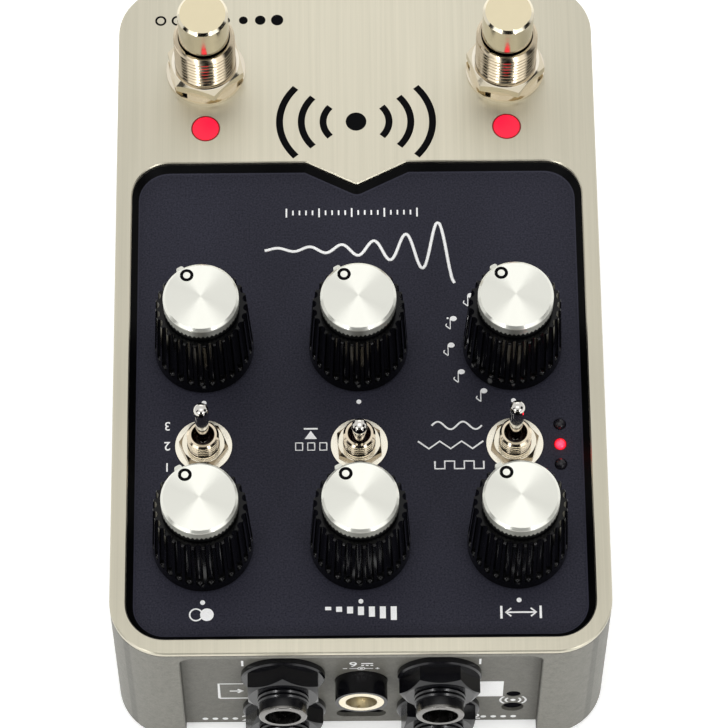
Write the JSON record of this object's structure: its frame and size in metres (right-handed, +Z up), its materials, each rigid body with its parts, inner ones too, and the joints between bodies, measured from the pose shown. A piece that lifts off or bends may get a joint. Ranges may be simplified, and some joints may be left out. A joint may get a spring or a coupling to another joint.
{
  "type": "tape echo unit",
  "caption": "Compact tape-echo effects pedal with footswitches, fluted control knobs, bat toggles and rear phone sockets.",
  "frame": {"origin": "on the surface it stands on, under the middle of the whole pedal with its rear sockets", "axes": "+X to the player's right, +Y from the footswitches at the front to the sockets at the rear, +Z up"},
  "size_m": [0.092, 0.1468, 0.065],
  "materials": {
    "grey_casting": "fine textured powder coat",
    "brushed_plate": "brushed, warm nickel tone",
    "black_deck": "fine textured coat",
    "base_steel": "satin coat",
    "screw_steel": "satin",
    "foot_rubber": "matte",
    "circuit_board": "solder mask",
    "brass_spacer": "satin",
    "knob_plastic": "satin moulded",
    "turned_cap": "spun face",
    "shaft_metal": "satin",
    "pot_case": "satin",
    "nickel_hardware": "bright nickel plate",
    "chrome_lever": "bright plate",
    "chrome_plunger": "bright nickel plate",
    "switch_plastic": "moulded",
    "red_lens": "clear red, gloss",
    "clear_lens": "smoked",
    "socket_plastic": "moulded black",
    "ferrule_nickel": "nickel plate",
    "contact_brass": "plated",
    "usb_steel": "stamped",
    "button_plastic": "moulded"
  },
  "bodies": {
    "casing": {"base_plate": "base_steel", "base_screws": "screw_steel", "board_screws": "screw_steel", "board_standoffs": "brass_spacer", "control_deck": "black_deck", "dc_contacts": "contact_brass", "dc_socket": "socket_plastic", "enclosure": "grey_casting", "faceplate": "brushed_plate", "footswitch_bodies": "switch_plastic", "footswitch_bushings": "nickel_hardware", "footswitch_lock_washers": "nickel_hardware", "footswitch_nuts": "nickel_hardware", "footswitch_washers": "nickel_hardware", "io_board": "circuit_board", "jack_ferrules": "ferrule_nickel", "jack_input_lower": "socket_plastic", "jack_input_upper": "socket_plastic", "jack_nuts": "socket_plastic", "jack_output_lower": "socket_plastic", "jack_output_upper": "socket_plastic", "jack_washers": "socket_plastic", "main_board": "circuit_board", "mode_lamps": "red_lens", "pair_lamp": "clear_lens", "pair_switch": "switch_plastic", "pot_bodies": "pot_case", "pot_nuts": "nickel_hardware", "pot_washers": "nickel_hardware", "riser_boards": "circuit_board", "rubber_feet": "foot_rubber", "status_lenses": "red_lens", "toggle_bodies": "nickel_hardware", "toggle_nuts": "nickel_hardware", "toggle_washers": "nickel_hardware", "usb_socket": "usb_steel"},
    "knob_front_left": {"knob_front_left": "knob_plastic", "knob_cap_front_left": "turned_cap", "pot_shaft_front_left": "shaft_metal"},
    "knob_front_middle": {"knob_front_middle": "knob_plastic", "knob_cap_front_middle": "turned_cap", "pot_shaft_front_middle": "shaft_metal"},
    "knob_front_right": {"knob_front_right": "knob_plastic", "knob_cap_front_right": "turned_cap", "pot_shaft_front_right": "shaft_metal"},
    "knob_rear_left": {"knob_rear_left": "knob_plastic", "knob_cap_rear_left": "turned_cap", "pot_shaft_rear_left": "shaft_metal"},
    "knob_rear_middle": {"knob_rear_middle": "knob_plastic", "knob_cap_rear_middle": "turned_cap", "pot_shaft_rear_middle": "shaft_metal"},
    "knob_rear_right": {"knob_rear_right": "knob_plastic", "knob_cap_rear_right": "turned_cap", "pot_shaft_rear_right": "shaft_metal"},
    "lever_left": {"toggle_lever_left": "chrome_lever"},
    "lever_middle": {"toggle_lever_middle": "chrome_lever"},
    "lever_right": {"toggle_lever_right": "chrome_lever"},
    "footswitch_left": {"footswitch_plunger_left": "chrome_plunger"},
    "footswitch_right": {"footswitch_plunger_right": "chrome_plunger"},
    "pair_button": {"pair_button": "button_plastic"}
  },
  "joints": [
    {"name": "knob_front_left_turn", "type": "hinge", "parent": "casing", "child": "knob_front_left", "pos_m": [-0.029, 0.0047, 0.0413], "axis": [0, 0, 1], "range_deg": [0, 300]},
    {"name": "knob_front_middle_turn", "type": "hinge", "parent": "casing", "child": "knob_front_middle", "pos_m": [0, 0.0047, 0.0413], "axis": [0, 0, 1], "range_deg": [0, 300]},
    {"name": "knob_front_right_turn", "type": "hinge", "parent": "casing", "child": "knob_front_right", "pos_m": [0.029, 0.0047, 0.0413], "axis": [0, 0, 1], "range_deg": [0, 300]},
    {"name": "knob_rear_left_turn", "type": "hinge", "parent": "casing", "child": "knob_rear_left", "pos_m": [-0.029, 0.0451, 0.0413], "axis": [0, 0, 1], "range_deg": [0, 300]},
    {"name": "knob_rear_middle_turn", "type": "hinge", "parent": "casing", "child": "knob_rear_middle", "pos_m": [0, 0.0451, 0.0413], "axis": [0, 0, 1], "range_deg": [0, 300]},
    {"name": "knob_rear_right_turn", "type": "hinge", "parent": "casing", "child": "knob_rear_right", "pos_m": [0.029, 0.0451, 0.0413], "axis": [0, 0, 1], "range_deg": [0, 300]},
    {"name": "lever_left_tilt", "type": "hinge", "parent": "casing", "child": "lever_left", "pos_m": [-0.029, 0.0249, 0.0433], "axis": [1, 0, 0], "range_deg": [-12.5, 12.5]},
    {"name": "lever_middle_tilt", "type": "hinge", "parent": "casing", "child": "lever_middle", "pos_m": [0, 0.0249, 0.0433], "axis": [1, 0, 0], "range_deg": [0, 25], "stiffness_Nm_per_rad": 0.02, "springref_deg": -17.19},
    {"name": "lever_right_tilt", "type": "hinge", "parent": "casing", "child": "lever_right", "pos_m": [0.029, 0.0249, 0.0433], "axis": [1, 0, 0], "range_deg": [-12.5, 12.5]},
    {"name": "footswitch_left_press", "type": "slide", "parent": "casing", "child": "footswitch_left", "axis": [0, 0, -1], "range_m": [0, 0.002], "stiffness_N_per_m": 2500, "springref_m": -0.001},
    {"name": "footswitch_right_press", "type": "slide", "parent": "casing", "child": "footswitch_right", "axis": [0, 0, -1], "range_m": [0, 0.002], "stiffness_N_per_m": 2500, "springref_m": -0.001},
    {"name": "pair_button_press", "type": "slide", "parent": "casing", "child": "pair_button", "axis": [0, -1, 0], "range_m": [0, 0.0006], "stiffness_N_per_m": 2000, "springref_m": -0.0003}
  ]
}
